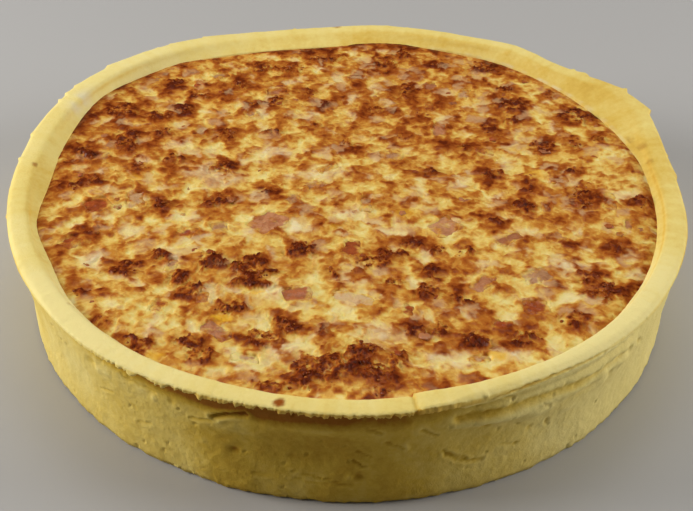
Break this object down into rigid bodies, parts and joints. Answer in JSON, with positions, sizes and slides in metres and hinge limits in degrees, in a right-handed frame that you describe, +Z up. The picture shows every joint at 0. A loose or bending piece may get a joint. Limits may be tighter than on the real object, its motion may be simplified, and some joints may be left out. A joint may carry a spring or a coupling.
{
  "type": "quiche",
  "caption": "Round deep ham quiche that stands free in its shortcrust case, with an uneven flared rim and a browned custard top in which pieces of ham are sunk",
  "frame": {"origin": "centre of the flat round base, on the surface that the quiche stands on", "axes": "+Z up out of the filling; X and Y lie on the table, and the seam in the rim is on the -Y side, a little towards +X"},
  "size_m": [0.2475, 0.2507, 0.0477],
  "materials": {
    "crust": "matt, dry baked shortcrust with a fine grain",
    "custard": "satin set custard and cheese, yellow with golden to dark brown patches",
    "ham_pink": "moist pink cooked ham",
    "ham_mauve": "moist dull mauve ham under a film of custard",
    "ham_browned": "browned glossy ham"
  },
  "bodies": {
    "root": {"pastry_case": "crust", "custard": "custard", "ham_01": "ham_pink", "ham_02": "ham_mauve", "ham_03": "ham_browned", "ham_04": "ham_mauve", "ham_05": "ham_browned", "ham_06": "ham_pink", "ham_07": "ham_mauve", "ham_08": "ham_browned", "ham_09": "ham_browned", "ham_10": "ham_pink", "ham_11": "ham_mauve", "ham_12": "ham_browned", "ham_13": "ham_mauve", "ham_14": "ham_browned", "ham_15": "ham_mauve", "ham_16": "ham_mauve", "ham_17": "ham_pink", "ham_18": "ham_mauve", "ham_19": "ham_mauve", "ham_20": "ham_pink", "ham_21": "ham_pink", "ham_22": "ham_mauve", "ham_23": "ham_browned", "ham_24": "ham_mauve", "ham_25": "ham_browned", "ham_26": "ham_browned", "ham_27": "ham_browned", "ham_28": "ham_mauve", "ham_29": "ham_browned", "ham_30": "ham_pink", "ham_31": "ham_mauve", "ham_32": "ham_browned", "ham_33": "ham_mauve", "ham_34": "ham_mauve", "ham_35": "ham_mauve", "ham_36": "ham_pink", "ham_37": "ham_browned", "ham_38": "ham_browned", "ham_39": "ham_mauve", "ham_40": "ham_mauve", "ham_41": "ham_pink", "ham_42": "ham_mauve", "ham_43": "ham_mauve"}
  },
  "joints": []
}
